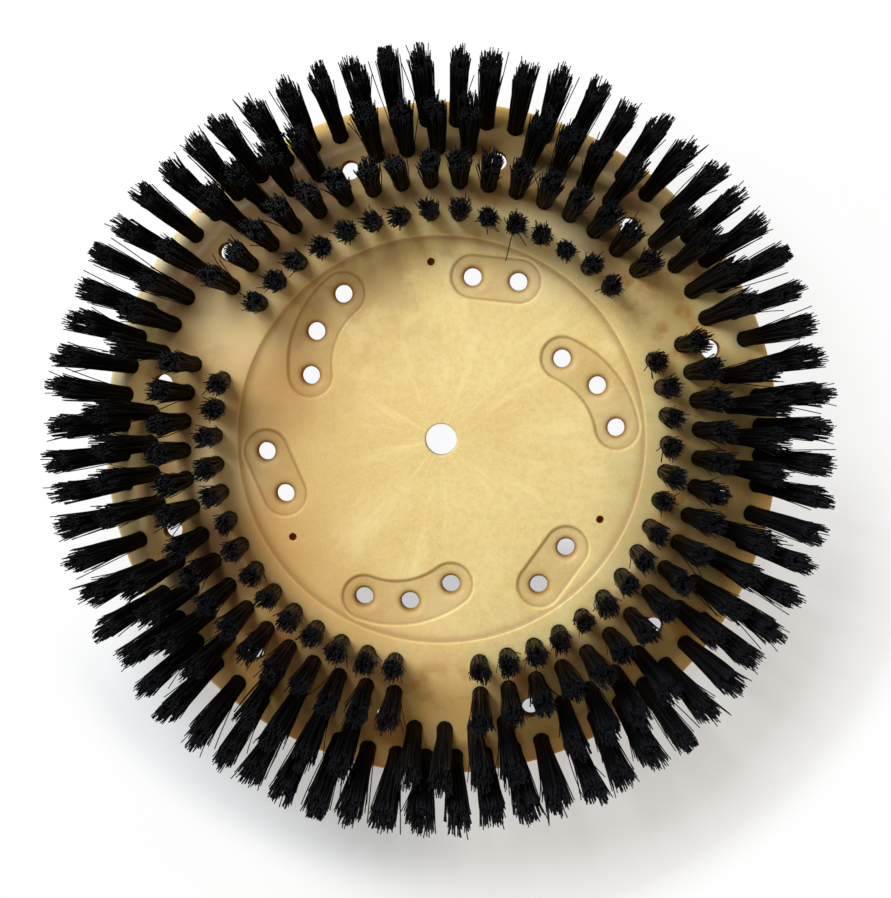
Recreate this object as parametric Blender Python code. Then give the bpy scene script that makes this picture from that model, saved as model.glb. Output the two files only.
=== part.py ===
"""Rotary shampoo brush for a carpet machine, lying on its back with the bristles up.

The block is one moulding: a thick ring that holds four rows of tufts, and a thin web inside it that is
bolted to the machine's clutch plate. The tufts lean outwards more and more towards the rim. Each row is made
in short arcs, and an arc is a slice of the block's face with the tufts that stand in it. A tuft is two
strands, which are the two legs of its folded bunch, and three in the outer row, where it fans out most. The
strands end raggedly, some at the trim plane and some short of it.

The origin is the centre of the back, with +Z up through the bristles. Lengths are in metres, angles in radians.
"""

import math

import bmesh
import bpy
from mathutils import Matrix, Vector

# Bolt holes for the usual clutch plates: three circles, each with the angle of its first hole
OUTER_BOLT_CIRCLE_RADIUS = 0.0889
MIDDLE_BOLT_CIRCLE_RADIUS = 0.0838
INNER_BOLT_CIRCLE_RADIUS = 0.0737
OUTER_BOLT_ANGLE = math.radians(4.3)
MIDDLE_BOLT_ANGLE = math.radians(19.5)
INNER_BOLT_ANGLE = math.radians(34.2)
BOLT_HOLE_RADIUS = 0.0047
BOLT_SEAT_RADIUS = 0.0070
BOLT_SEAT_DEPTH = 0.0010
SECTORS = 3

# Pockets that group the bolt holes, three holes and two holes by turns
POCKET_HALF_WIDTH = 0.0117
POCKET_WALL_RUN = 0.0014
POCKET_DEPTH = 0.0014

# The web: a shallow recess in the face, and the clutch plate's seat in the back
CENTRE_HOLE_RADIUS = 0.0079
RECESS_MARGIN = 0.0143
RECESS_WALL_RUN = 0.0016
FACE_RECESS_DEPTH = 0.0018
SEAT_MARGIN = 0.0128
SEAT_DEPTH = 0.0064

# Small blind holes just outside the outer bolt circle, which locate the block while it is drilled
PILOT_CIRCLE_STEP = 0.0010
PILOT_ANGLE = math.radians(93.7)
PILOT_HOLE_RADIUS = 0.0019
PILOT_HOLE_DEPTH = 0.0050

# The ring that holds the tufts
BLOCK_THICKNESS = 0.0190
INNER_ROW_MARGIN = 0.0111
SECOND_ROW_STEP = 0.0163
THIRD_ROW_STEP = 0.0167
OUTER_ROW_STEP = 0.0137
RIM_MARGIN = 0.0100
BEVEL_MARGIN = 0.0067
BEVEL_ANGLE = math.radians(22)
RIM_ROUND = 0.0030
EDGE_BREAK = 0.0008
WALL_DRAFT = 0.0008

# Water way: a trough in the back and a ring of feed holes, on a circle a little inside the third row's
FEED_HOLES = 12
FEED_CIRCLE_STEP = 0.0042
FEED_ANGLE = math.radians(18.7)
FEED_HOLE_RADIUS = 0.0047
TROUGH_HALF_WIDTH = 0.0088
TROUGH_DEPTH = 0.0064

# Tufts, cut off level above the face: each fans out from its hole to its row's tip radius
TRIM_HEIGHT = 0.0381
TUFT_RADIUS = 0.0041
INNER_TIP_RADIUS = 0.0047
SECOND_TIP_RADIUS = 0.0052
THIRD_TIP_RADIUS = 0.0059
OUTER_TIP_RADIUS = 0.0066
TUFT_SINK = 0.0010
ROOT_STRAND_GAP = 0.0009
TIP_STRAND_GAP = 0.0018
SLICE_MARGIN = 0.0012
SLICE_THICKNESS = 0.0025

# Piece-to-piece clearance, how far a cutter runs past what it cuts, and how near two points are one
SEAT_GAP = 0.0003
CUT_OVERRUN = 0.0020
WELD_DISTANCE = 0.00001

# Facets
BLOCK_SEGMENTS = 72
HOLE_SEGMENTS = 14
SMALL_HOLE_SEGMENTS = 8
POCKET_CAP_STEPS = 7
POCKET_SIDE_STEPS = 6
ROUND_STEPS = 3

# Sizes that follow from the ones above
PILOT_CIRCLE_RADIUS = OUTER_BOLT_CIRCLE_RADIUS + PILOT_CIRCLE_STEP
SEAT_RADIUS = OUTER_BOLT_CIRCLE_RADIUS + SEAT_MARGIN
RECESS_RADIUS = OUTER_BOLT_CIRCLE_RADIUS + RECESS_MARGIN
INNER_ROW_RADIUS = RECESS_RADIUS + INNER_ROW_MARGIN
SECOND_ROW_RADIUS = INNER_ROW_RADIUS + SECOND_ROW_STEP
THIRD_ROW_RADIUS = SECOND_ROW_RADIUS + THIRD_ROW_STEP
OUTER_ROW_RADIUS = THIRD_ROW_RADIUS + OUTER_ROW_STEP
BEVEL_START_RADIUS = THIRD_ROW_RADIUS + BEVEL_MARGIN
FEED_CIRCLE_RADIUS = THIRD_ROW_RADIUS - FEED_CIRCLE_STEP
BLOCK_RADIUS = OUTER_ROW_RADIUS + RIM_MARGIN
RECESS_FLOOR = BLOCK_THICKNESS - FACE_RECESS_DEPTH
POCKET_FLOOR = RECESS_FLOOR - POCKET_DEPTH
TRIM_PLANE = BLOCK_THICKNESS + TRIM_HEIGHT

# Strands of a tuft, each as the gaps that it stands to one side, and its corners. A corner is how far it lies
# along the lean and across it, as shares of the tuft's radius, and how far it ends below the trim plane
PAIR_OF_STRANDS = (
    (0.5, ((-1.0, 0.0, 0.0006), (-0.45, 0.9, 0.0020), (0.45, 0.9, 0.0), (1.0, 0.0, 0.0012))),
    (-0.5, ((-1.0, 0.0, 0.0024), (-0.45, -0.9, 0.0003), (0.45, -0.9, 0.0016), (1.0, 0.0, 0.0))),
)
THREE_STRANDS = (
    (-0.5, ((0.96, -0.9, 0.0), (0.96, 0.0, 0.0026), (-0.80, -0.45, 0.0012))),
    (0.0, ((-0.80, -0.45, 0.0), (-0.80, 0.45, 0.0022), (0.96, 0.0, 0.0009))),
    (0.5, ((0.96, 0.0, 0.0015), (0.96, 0.9, 0.0), (-0.80, 0.45, 0.0028))),
)

# Each row: how many places it has, the angle of the first, its runs as (first place, tufts, arcs), and its lean
ROWS = (
    {
        "name": "inner_row_bristles",
        "radius": INNER_ROW_RADIUS,
        "places": 50,
        "first_angle": math.radians(42.1),
        "runs": ((0, 15, 3), (17, 14, 3), (33, 15, 3)),
        "lean": math.radians(0.5),
        "tip_radius": INNER_TIP_RADIUS,
        "strands": PAIR_OF_STRANDS,
    },
    {
        "name": "second_row_bristles",
        "radius": SECOND_ROW_RADIUS,
        "places": 56,
        "first_angle": math.radians(40.8),
        "runs": ((0, 17, 3), (19, 16, 3), (37, 17, 3)),
        "lean": math.radians(13),
        "tip_radius": SECOND_TIP_RADIUS,
        "strands": PAIR_OF_STRANDS,
    },
    {
        "name": "third_row_bristles",
        "radius": THIRD_ROW_RADIUS,
        "places": 60,
        "first_angle": math.radians(24.8),
        "runs": tuple((5 * k, 4, 1) for k in range(FEED_HOLES)),
        "lean": math.radians(27),
        "tip_radius": THIRD_TIP_RADIUS,
        "strands": PAIR_OF_STRANDS,
    },
    {
        "name": "outer_row_bristles",
        "radius": OUTER_ROW_RADIUS,
        "places": 68,
        "first_angle": math.radians(2.6),
        "runs": ((0, 68, 17),),
        "lean": math.radians(32.4),
        "tip_radius": OUTER_TIP_RADIUS,
        "strands": THREE_STRANDS,
    },
)


def clear_scene():
    for old in list(bpy.data.objects):
        bpy.data.objects.remove(old, do_unlink=True)


def make_material(name, colour, roughness):
    material = bpy.data.materials.new(name)
    material.use_nodes = True
    shader = material.node_tree.nodes["Principled BSDF"]
    shader.inputs["Base Color"].default_value = (*colour, 1.0)
    shader.inputs["Roughness"].default_value = roughness
    shader.inputs["Metallic"].default_value = 0.0
    return material


def make_object(name, mesh):
    piece = bpy.data.objects.new(name, mesh)
    bpy.context.scene.collection.objects.link(piece)
    return piece


def mesh_from(bm, name, materials=()):
    """A mesh whose faces all wear the last of the materials."""
    bmesh.ops.remove_doubles(bm, verts=bm.verts, dist=WELD_DISTANCE)
    bmesh.ops.recalc_face_normals(bm, faces=bm.faces)
    for face in bm.faces:
        face.material_index = max(0, len(materials) - 1)
    mesh = bpy.data.meshes.new(name)
    bm.to_mesh(mesh)
    bm.free()
    for material in materials:
        mesh.materials.append(material)
    return mesh


def combine(base_mesh, tool_mesh, operation):
    """The base mesh after one Boolean with the tool mesh."""
    base = bpy.data.objects.new("boolean_base", base_mesh)
    tool = bpy.data.objects.new("boolean_tool", tool_mesh)
    for helper in (base, tool):
        bpy.context.scene.collection.objects.link(helper)
    step = base.modifiers.new(operation.lower(), "BOOLEAN")
    step.operation = operation
    step.object = tool
    depsgraph = bpy.context.evaluated_depsgraph_get()
    result = bpy.data.meshes.new_from_object(base.evaluated_get(depsgraph))
    result.name = base_mesh.name
    for helper in (base, tool):
        bpy.data.objects.remove(helper, do_unlink=True)
    return result


def face_slope(radius):
    """Rise over run of the block's face: level, then falling away towards the rim."""
    return -math.tan(BEVEL_ANGLE) if radius > BEVEL_START_RADIUS else 0.0


def face_height(radius):
    return BLOCK_THICKNESS + face_slope(radius) * (radius - BEVEL_START_RADIUS)


def polar(radius, angle, height=0.0):
    return Vector((radius * math.cos(angle), radius * math.sin(angle), height))


def round_corner(before, corner, after, radius, steps):
    """Points of the arc that rounds off a corner of a turned profile."""
    corner = Vector(corner)
    to_before = (Vector(before) - corner).normalized()
    to_after = (Vector(after) - corner).normalized()
    half = to_before.angle(to_after) / 2
    inward = (to_before + to_after).normalized()
    centre = corner + inward * radius / math.sin(half)
    spoke = corner + to_before * radius / math.tan(half) - centre
    far_spoke = corner + to_after * radius / math.tan(half) - centre
    start = math.atan2(spoke.y, spoke.x)
    turn = math.remainder(math.atan2(far_spoke.y, far_spoke.x) - start, math.tau)
    angles = [start + turn * step / steps for step in range(steps + 1)]
    return [(centre.x + radius * math.cos(angle), centre.y + radius * math.sin(angle)) for angle in angles]


def sweep(bm, profile, start, turn, steps):
    """Sweep a closed profile of (radius, height) points about Z, capped unless it goes all the way round."""
    corners = [bm.verts.new(polar(radius, start, height)) for radius, height in profile]
    edges = [bm.edges.new(pair) for pair in zip(corners, corners[1:] + corners[:1])]
    all_round = turn == math.tau
    swept = bmesh.ops.spin(
        bm,
        geom=corners + edges,
        axis=(0, 0, 1),
        cent=(0, 0, 0),
        angle=turn,
        steps=steps,
        use_merge=all_round,
    )
    if not all_round:
        last = [edge for edge in swept["geom_last"] if isinstance(edge, bmesh.types.BMEdge)]
        bmesh.ops.contextual_create(bm, geom=edges)
        bmesh.ops.contextual_create(bm, geom=last)


def block_blank():
    """The turned shape of the moulding, before its pockets and holes."""
    rim = (BLOCK_RADIUS, face_height(BLOCK_RADIUS))
    rim_foot = (BLOCK_RADIUS, EDGE_BREAK)
    bevel_start = (BEVEL_START_RADIUS, BLOCK_THICKNESS)
    profile = [
        (CENTRE_HOLE_RADIUS, SEAT_DEPTH),
        (CENTRE_HOLE_RADIUS, RECESS_FLOOR - EDGE_BREAK),
        (CENTRE_HOLE_RADIUS + EDGE_BREAK, RECESS_FLOOR),
        (RECESS_RADIUS - RECESS_WALL_RUN, RECESS_FLOOR),
        (RECESS_RADIUS, BLOCK_THICKNESS),
        bevel_start,
        *round_corner(bevel_start, rim, rim_foot, RIM_ROUND, ROUND_STEPS),
        rim_foot,
        (BLOCK_RADIUS - EDGE_BREAK, 0),
        (FEED_CIRCLE_RADIUS + TROUGH_HALF_WIDTH, 0),
        (FEED_CIRCLE_RADIUS + TROUGH_HALF_WIDTH - WALL_DRAFT, TROUGH_DEPTH),
        (FEED_CIRCLE_RADIUS - TROUGH_HALF_WIDTH + WALL_DRAFT, TROUGH_DEPTH),
        (FEED_CIRCLE_RADIUS - TROUGH_HALF_WIDTH, 0),
        (SEAT_RADIUS, 0),
        (SEAT_RADIUS - WALL_DRAFT, SEAT_DEPTH),
    ]
    bm = bmesh.new()
    sweep(bm, profile, 0, math.tau, BLOCK_SEGMENTS)
    return mesh_from(bm, "brush_block")


def circle_through(first, middle, last):
    """Centre and radius of the circle through three points of a level plane."""
    ab = middle - first
    ac = last - first
    twice_area = 2 * (ab.x * ac.y - ab.y * ac.x)
    offset_x = (ac.y * ab.length_squared - ab.y * ac.length_squared) / twice_area
    offset_y = (ab.x * ac.length_squared - ac.x * ab.length_squared) / twice_area
    offset = Vector((offset_x, offset_y, 0))
    return first + offset, offset.length


def cap_points(centre, towards, half_width):
    """Half a circle about the centre, from the right of the direction round to its left."""
    middle = math.atan2(towards.y, towards.x)
    angles = [middle + math.pi * (step / POCKET_CAP_STEPS - 1 / 2) for step in range(POCKET_CAP_STEPS + 1)]
    return [centre + polar(half_width, angle) for angle in angles]


def straight_pocket(first, last, half_width):
    along = last - first
    return cap_points(last, along, half_width) + cap_points(first, -along, half_width)


def curved_pocket(first, middle, last, half_width):
    """A slot of even width that bends through three hole centres."""
    centre, radius = circle_through(first, middle, last)
    start = math.atan2(first.y - centre.y, first.x - centre.x)
    end = math.atan2(last.y - centre.y, last.x - centre.x)
    turn = math.remainder(end - start, math.tau)
    way = math.copysign(1, turn)
    sides = [start + turn * step / POCKET_SIDE_STEPS for step in range(1, POCKET_SIDE_STEPS)]
    right = [centre + polar(radius + way * half_width, angle) for angle in sides]
    left = [centre + polar(radius - way * half_width, angle) for angle in reversed(sides)]
    leaving = polar(way, end + math.pi / 2)
    arriving = polar(-way, start + math.pi / 2)
    return right + cap_points(last, leaving, half_width) + left + cap_points(first, arriving, half_width)


def sunk_prism(bm, outlines, heights):
    """A closed solid through level outlines of equal length, one above the other."""
    loops = [[bm.verts.new((p.x, p.y, height)) for p in line] for line, height in zip(outlines, heights)]
    for lower, upper in zip(loops, loops[1:]):
        for k in range(len(lower)):
            bm.faces.new((lower[k - 1], lower[k], upper[k], upper[k - 1]))
    bm.faces.new(loops[0])
    bm.faces.new(loops[-1])


def pocket_cutter():
    bm = bmesh.new()
    floor_half_width = POCKET_HALF_WIDTH - POCKET_WALL_RUN
    heights = (POCKET_FLOOR, RECESS_FLOOR, RECESS_FLOOR + CUT_OVERRUN)
    for sector in range(SECTORS):
        turn = math.tau * sector / SECTORS
        half_turn = turn + math.pi / SECTORS
        three = (
            polar(INNER_BOLT_CIRCLE_RADIUS, INNER_BOLT_ANGLE + turn),
            polar(MIDDLE_BOLT_CIRCLE_RADIUS, MIDDLE_BOLT_ANGLE + turn),
            polar(OUTER_BOLT_CIRCLE_RADIUS, OUTER_BOLT_ANGLE + turn),
        )
        two = (
            polar(MIDDLE_BOLT_CIRCLE_RADIUS, MIDDLE_BOLT_ANGLE + half_turn),
            polar(OUTER_BOLT_CIRCLE_RADIUS, OUTER_BOLT_ANGLE + half_turn),
        )
        for outline, holes in ((curved_pocket, three), (straight_pocket, two)):
            floor = outline(*holes, floor_half_width)
            mouth = outline(*holes, POCKET_HALF_WIDTH)
            sunk_prism(bm, (floor, mouth, mouth), heights)
    return mesh_from(bm, "pocket_cutter")


def bolt_places():
    outer = [OUTER_BOLT_ANGLE + math.pi * k / SECTORS for k in range(2 * SECTORS)]
    middle = [MIDDLE_BOLT_ANGLE + math.pi * k / SECTORS for k in range(2 * SECTORS)]
    inner = [INNER_BOLT_ANGLE + math.tau * k / SECTORS for k in range(SECTORS)]
    places = [polar(OUTER_BOLT_CIRCLE_RADIUS, angle) for angle in outer]
    places += [polar(MIDDLE_BOLT_CIRCLE_RADIUS, angle) for angle in middle]
    places += [polar(INNER_BOLT_CIRCLE_RADIUS, angle) for angle in inner]
    return places


def add_drill(bm, place, radius, bottom, top, segments, mouth_radius=None):
    """A round cutter between two heights, wider at its mouth for a dished seat."""
    bmesh.ops.create_cone(
        bm,
        cap_ends=True,
        segments=segments,
        radius1=radius,
        radius2=mouth_radius or radius,
        depth=top - bottom,
        matrix=Matrix.Translation((place.x, place.y, (bottom + top) / 2)),
    )


def bolt_seat_cutter():
    """Dished seats: each widens evenly from the hole, through the pocket's floor and on above it."""
    bm = bmesh.new()
    slope = (BOLT_SEAT_RADIUS - BOLT_HOLE_RADIUS) / BOLT_SEAT_DEPTH
    bottom = POCKET_FLOOR - BOLT_SEAT_DEPTH
    mouth = POCKET_FLOOR + POCKET_DEPTH / 2
    mouth_radius = BOLT_SEAT_RADIUS + slope * (mouth - POCKET_FLOOR)
    for place in bolt_places():
        add_drill(bm, place, BOLT_HOLE_RADIUS, bottom, mouth, HOLE_SEGMENTS, mouth_radius)
    return mesh_from(bm, "bolt_seat_cutter")


def hole_cutter():
    bm = bmesh.new()
    for place in bolt_places():
        bottom = SEAT_DEPTH - CUT_OVERRUN
        top = POCKET_FLOOR + CUT_OVERRUN
        add_drill(bm, place, BOLT_HOLE_RADIUS, bottom, top, HOLE_SEGMENTS)
    for k in range(FEED_HOLES):
        place = polar(FEED_CIRCLE_RADIUS, FEED_ANGLE + math.tau * k / FEED_HOLES)
        bottom = TROUGH_DEPTH - CUT_OVERRUN
        top = BLOCK_THICKNESS + CUT_OVERRUN
        add_drill(bm, place, FEED_HOLE_RADIUS, bottom, top, HOLE_SEGMENTS)
    for k in range(SECTORS):
        place = polar(PILOT_CIRCLE_RADIUS, PILOT_ANGLE + math.tau * k / SECTORS)
        bottom = RECESS_FLOOR - PILOT_HOLE_DEPTH
        top = RECESS_FLOOR + CUT_OVERRUN
        add_drill(bm, place, PILOT_HOLE_RADIUS, bottom, top, SMALL_HOLE_SEGMENTS)
    return mesh_from(bm, "hole_cutter")


def slice_half_width(row):
    return TUFT_RADIUS / math.cos(row["lean"]) + SLICE_MARGIN


def slice_profile(row, grow, top_overrun):
    """Section of a row's slice of face, grown sideways and downwards for the groove that it sits in."""
    inner = row["radius"] - slice_half_width(row) - grow
    outer = row["radius"] + slice_half_width(row) + grow
    return [
        (inner, face_height(inner) + top_overrun),
        (outer, face_height(outer) + top_overrun),
        (outer, face_height(outer) - SLICE_THICKNESS - grow),
        (inner, face_height(inner) - SLICE_THICKNESS - grow),
    ]


def end_gap_angle(row):
    """The angle that half the clearance takes up at a slice's inner edge."""
    return SEAT_GAP / 2 / (row["radius"] - slice_half_width(row))


def groove_cutter():
    """One groove to each run of tufts, and a whole ring where the run closes on itself."""
    bm = bmesh.new()
    for row in ROWS:
        pitch = math.tau / row["places"]
        profile = slice_profile(row, SEAT_GAP, CUT_OVERRUN)
        for first, tufts, _ in row["runs"]:
            start = row["first_angle"] + (first - 1 / 2) * pitch
            if tufts == row["places"]:
                sweep(bm, profile, start, math.tau, tufts)
            else:
                spare = end_gap_angle(row)
                sweep(bm, profile, start - spare, tufts * pitch + 2 * spare, tufts)
    return mesh_from(bm, "groove_cutter")


def build_block(block_plastic):
    mesh = block_blank()
    for cutter in (pocket_cutter(), bolt_seat_cutter(), hole_cutter(), groove_cutter()):
        mesh = combine(mesh, cutter, "DIFFERENCE")
    mesh.materials.clear()
    mesh.materials.append(block_plastic)
    mesh.shade_smooth()
    mesh.set_sharp_from_angle(angle=math.radians(30))
    return make_object("brush_block", mesh)


def strand_outline(row, reach, radius, gap, strand):
    """Corners of one strand in plan: its radius is stretched along the lean, as a level cut shows it."""
    gaps, corners = strand
    stretched = radius / math.cos(row["lean"])
    return [(reach + along * stretched, gaps * gap + across * radius) for along, across, _ in corners]


def add_strand(bm, row, turn, strand):
    """One strand of a tuft, from a root that lies just under the face and slopes with it, to its ragged end."""
    radius = row["radius"]
    root_height = face_height(radius) - TUFT_SINK
    root_reach = radius - TUFT_SINK * math.tan(row["lean"])
    tip_reach = radius + (TRIM_PLANE - face_height(radius)) * math.tan(row["lean"])
    root_outline = strand_outline(row, root_reach, TUFT_RADIUS, ROOT_STRAND_GAP, strand)
    tip_outline = strand_outline(row, tip_reach, row["tip_radius"], TIP_STRAND_GAP, strand)
    shortfalls = [corner[2] for corner in strand[1]]
    root = []
    tip = []
    for root_corner, tip_corner, shortfall in zip(root_outline, tip_outline, shortfalls):
        level_root = Vector((*root_corner, root_height))
        end = Vector((*tip_corner, TRIM_PLANE))
        along = end - level_root
        rise = face_slope(radius) * (level_root.x - root_reach)
        share = rise / (along.z - face_slope(radius) * along.x)
        root.append(bm.verts.new(turn @ (level_root + share * along)))
        tip.append(bm.verts.new(turn @ (end - along * shortfall / along.z)))
    bm.faces.new(root)
    bmesh.ops.triangulate(bm, faces=[bm.faces.new(tip)])
    for k in range(len(root)):
        bm.faces.new((root[k - 1], root[k], tip[k], tip[k - 1]))


def bristle_arc_mesh(row, tufts, materials):
    """A slice of the face with its tufts, centred on the X axis."""
    pitch = math.tau / row["places"]
    spare = end_gap_angle(row)
    slice_bm = bmesh.new()
    sweep(slice_bm, slice_profile(row, 0, 0), spare - tufts * pitch / 2, tufts * pitch - 2 * spare, tufts)
    tuft_bm = bmesh.new()
    for k in range(tufts):
        turn = Matrix.Rotation((k - (tufts - 1) / 2) * pitch, 4, "Z")
        for strand in row["strands"]:
            add_strand(tuft_bm, row, turn, strand)
    slice_mesh = mesh_from(slice_bm, row["name"], materials[:1])
    tuft_mesh = mesh_from(tuft_bm, "tufts", materials)
    slice_mesh.materials.append(materials[1])
    return combine(slice_mesh, tuft_mesh, "UNION")


def build_row(row, materials):
    """The row's arcs: arcs with the same number of tufts share one mesh and are turned into place."""
    pitch = math.tau / row["places"]
    meshes = {}
    number = 0
    for first, run_tufts, arcs in row["runs"]:
        place = first
        for arc in range(arcs):
            tufts = run_tufts // arcs + (arc < run_tufts % arcs)
            if tufts not in meshes:
                meshes[tufts] = bristle_arc_mesh(row, tufts, materials)
            number += 1
            piece = make_object(f"{row['name']}_{number:02d}", meshes[tufts])
            piece.rotation_euler.z = row["first_angle"] + (place + (tufts - 1) / 2) * pitch
            place += tufts


def main():
    clear_scene()
    block_plastic = make_material("cream_block_plastic", (0.74, 0.60, 0.32), 0.45)
    bristle = make_material("black_bristle", (0.012, 0.012, 0.014), 0.5)
    build_block(block_plastic)
    for row in ROWS:
        build_row(row, (block_plastic, bristle))


main()
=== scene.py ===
"""Rotary carpet shampoo brush, lying on its back with the bristles up, dressed round its CAD frame.

The block is one cream moulding with pockets, bolt holes, feed holes and a hole for each tuft. The tufts are
bunches of black filaments that lean outwards more and more towards the rim and are trimmed off level.
Lengths are in metres, and angles in radians unless a comment gives degrees.
"""

import math
import random

import bmesh
import bpy
from mathutils import Matrix, Vector


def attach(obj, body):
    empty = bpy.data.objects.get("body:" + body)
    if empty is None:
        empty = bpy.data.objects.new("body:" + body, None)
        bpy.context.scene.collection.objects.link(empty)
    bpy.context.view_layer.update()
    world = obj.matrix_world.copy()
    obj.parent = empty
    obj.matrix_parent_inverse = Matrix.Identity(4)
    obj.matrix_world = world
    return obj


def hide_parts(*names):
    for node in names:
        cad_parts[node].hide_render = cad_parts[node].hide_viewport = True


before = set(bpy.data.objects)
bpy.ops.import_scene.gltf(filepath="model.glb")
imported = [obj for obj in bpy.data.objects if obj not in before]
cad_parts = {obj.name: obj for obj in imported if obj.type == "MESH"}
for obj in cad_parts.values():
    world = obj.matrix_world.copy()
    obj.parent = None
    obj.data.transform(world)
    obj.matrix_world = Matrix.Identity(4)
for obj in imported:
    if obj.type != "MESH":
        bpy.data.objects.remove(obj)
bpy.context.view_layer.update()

# The photograph's frame and the camera that looks down on the brush
FRAME_LONG_SIDE_PX = 898
FOCAL_LENGTH_PX = 1985.2
SENSOR_MM = 36.0
CAMERA_PLACE = Vector((0.0203, 0.0480, 1.0190))
CAMERA_TARGET = Vector((0.01223, 0.01844, 0.0190))
CAMERA_SHIFT_PX = (-20, -45.7)
CAMERA_ROLL = math.radians(0.12)
CAMERA_NEAR = 0.05
CAMERA_FAR = 20.0

# The window's light, the warm fill from all round, and the floor
WINDOW_PLACE = Vector((-0.69, 0.82, 1.29))
WINDOW_TARGET = Vector((0, 0, 0.02))
WINDOW_SIZE = 0.95
WINDOW_WATTS = 28.0
WINDOW_COLOUR = (0.95, 0.98, 1.0)
FILL_COLOUR = (1.0, 0.87, 0.66, 1.0)
FILL_STRENGTH = 0.44
FLOOR_HALF_SIZE = 4.0

# Web: centre hole, shallow recess in the face, and the clutch plate's seat in the back
CENTRE_HOLE_RADIUS = 0.0079
RECESS_RADIUS = 0.1032
RECESS_FLOOR = 0.0172
SEAT_RADIUS = 0.1017
SEAT_DEPTH = 0.0064
WALL_DRAFT = 0.0008

# Foot of the recess edge, which curves up from the floor: distance in from the edge, and rise above the floor
RECESS_FOOT = (
    (0.0087, 0.0),
    (0.0060, 0.00006),
    (0.0040, 0.00019),
    (0.0026, 0.00036),
    (0.0014, 0.00062),
    (0.0006, 0.00100),
)

# Ring that holds the tufts, with the feed trough in its back
FACE_HEIGHT = 0.0190
BEVEL_START_RADIUS = 0.1540
BEVEL_ANGLE = math.radians(22)
BLOCK_RADIUS = 0.1710
TROUGH_RADIUS = 0.1431
TROUGH_HALF_WIDTH = 0.0088
TROUGH_DEPTH = 0.0064

# Roundings of the block's edges, how finely round things are drawn, and where shading turns sharp
CENTRE_HOLE_BACK_ROUND = 0.0004
CENTRE_HOLE_MOUTH_ROUND = 0.0009
RECESS_EDGE_ROUND = 0.0008
BEVEL_START_ROUND = 0.0022
RIM_TOP_ROUND = 0.0020
RIM_FOOT_ROUND = 0.0009
BACK_EDGE_ROUND = 0.0006
BACK_FOOT_ROUND = 0.0008
ROUNDING_STEPS = 4
BLOCK_STEPS = 288
HOLE_STEPS = 40
SMALL_HOLE_STEPS = 24
SHARP_ANGLE = math.radians(40)

# How far a cutter overruns a face, the chamfer where a hole comes out of the back, and how near two points
# are when they are welded into one
CUT_OVERRUN = 0.0020
BACK_CHAMFER = 0.0003
WELD = 0.00001

# Bolt holes on three circles, each with the angle of its first hole, and the pockets that group them
SECTORS = 3
OUTER_BOLTS = (0.0889, math.radians(4.0))
MIDDLE_BOLTS = (0.0838, math.radians(19.2))
INNER_BOLTS = (0.0737, math.radians(33.9))
BOLT_HOLE_RADIUS = 0.0045
POCKET_HALF_WIDTH = 0.0117
POCKET_DEPTH = 0.0014
POCKET_FLOOR = RECESS_FLOOR - POCKET_DEPTH
POCKET_END_STEPS = 20
POCKET_SIDE_STEPS = 24

# How a pocket's cutter steps inwards and down, from the lip of its mouth to the edge of its floor
POCKET_LIP = 0.0008
POCKET_STEPS = (
    (0.00030, 0.00005),
    (0.00030, 0.00012),
    (0.00028, 0.00020),
    (0.00055, 0.00052),
    (0.00028, 0.00022),
    (0.00030, 0.00015),
    (0.00030, 0.00009),
    (0.00030, 0.00005),
)

# Dished seat round a bolt hole: distance from the hole's axis, and drop below the pocket's floor
BOLT_DISH = (
    (0.0098, -0.00001),
    (0.0089, 0.00002),
    (0.0079, 0.00010),
    (0.0069, 0.00028),
    (0.0061, 0.00056),
    (0.0055, 0.00092),
    (0.0050, 0.00145),
    (BOLT_HOLE_RADIUS, 0.0025),
)

# Feed holes down into the trough, and the small blind holes that locate the block on its drill
FEED_HOLES = 12
FEED_ANGLE = math.radians(18.7)
FEED_HOLE_RADIUS = 0.0047
FEED_MOUTH_CHAMFER = 0.0003
PILOT_CIRCLE_RADIUS = 0.0899
PILOT_ANGLE = math.radians(93.4)
PILOT_RADIUS = 0.0019
PILOT_DEPTH = 0.0050
PILOT_POINT = 0.0008
PILOT_MOUTH_CHAMFER = 0.0002

# Mark of an ejector pin on the face: its place, its radius, and the half width and depth of its groove
EJECTOR_MARK = (0.1199, math.radians(29.6))
EJECTOR_RADIUS = 0.0044
EJECTOR_GROOVE = 0.0003
EJECTOR_GROOVE_DEPTH = 0.00012

# The shaded inside of a hole: how far below its mouth it starts, how far it stays above the back's planes,
# and how far out it reaches as a share of the hole's radius
MOUTH_CLEARANCE = 0.0002
DISH_CLEARANCE = 0.0012
BACK_CLEARANCE = 0.0001
SHADE_REACH = 1.1

# Painted shade between the tufts, and painted light on bright places of the face and the rim: distance from
# the axis, angle in degrees and depth of shade
TUFT_SHADE_SPOTS = (
    (0.126, 54, 0.90),
    (0.155, 48, 0.45),
    (0.155, 66, 0.60),
    (0.125, 122, 0.50),
    (0.154, 120, 0.70),
    (0.157, 148, 0.60),
    (0.142, 180, 0.30),
    (0.124, 208, 0.85),
    (0.154, 208, 0.70),
    (0.126, 240, 0.30),
    (0.126, 302, 0.45),
    (0.126, 330, 0.60),
)
# Painted light on bright places of the face and the rim
PAINTED_LIGHT_SPOTS = (
    (0.105, 62, 0.65),
    (0.111, 187, 0.50),
    (0.118, 152, 0.35),
    (0.088, 262, 0.20),
    (0.171, 24, 0.65),
    (0.171, 42, 0.65),
    (0.171, 60, 0.35),
    (0.171, 192, 0.40),
    (0.171, 212, 0.55),
)

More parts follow.
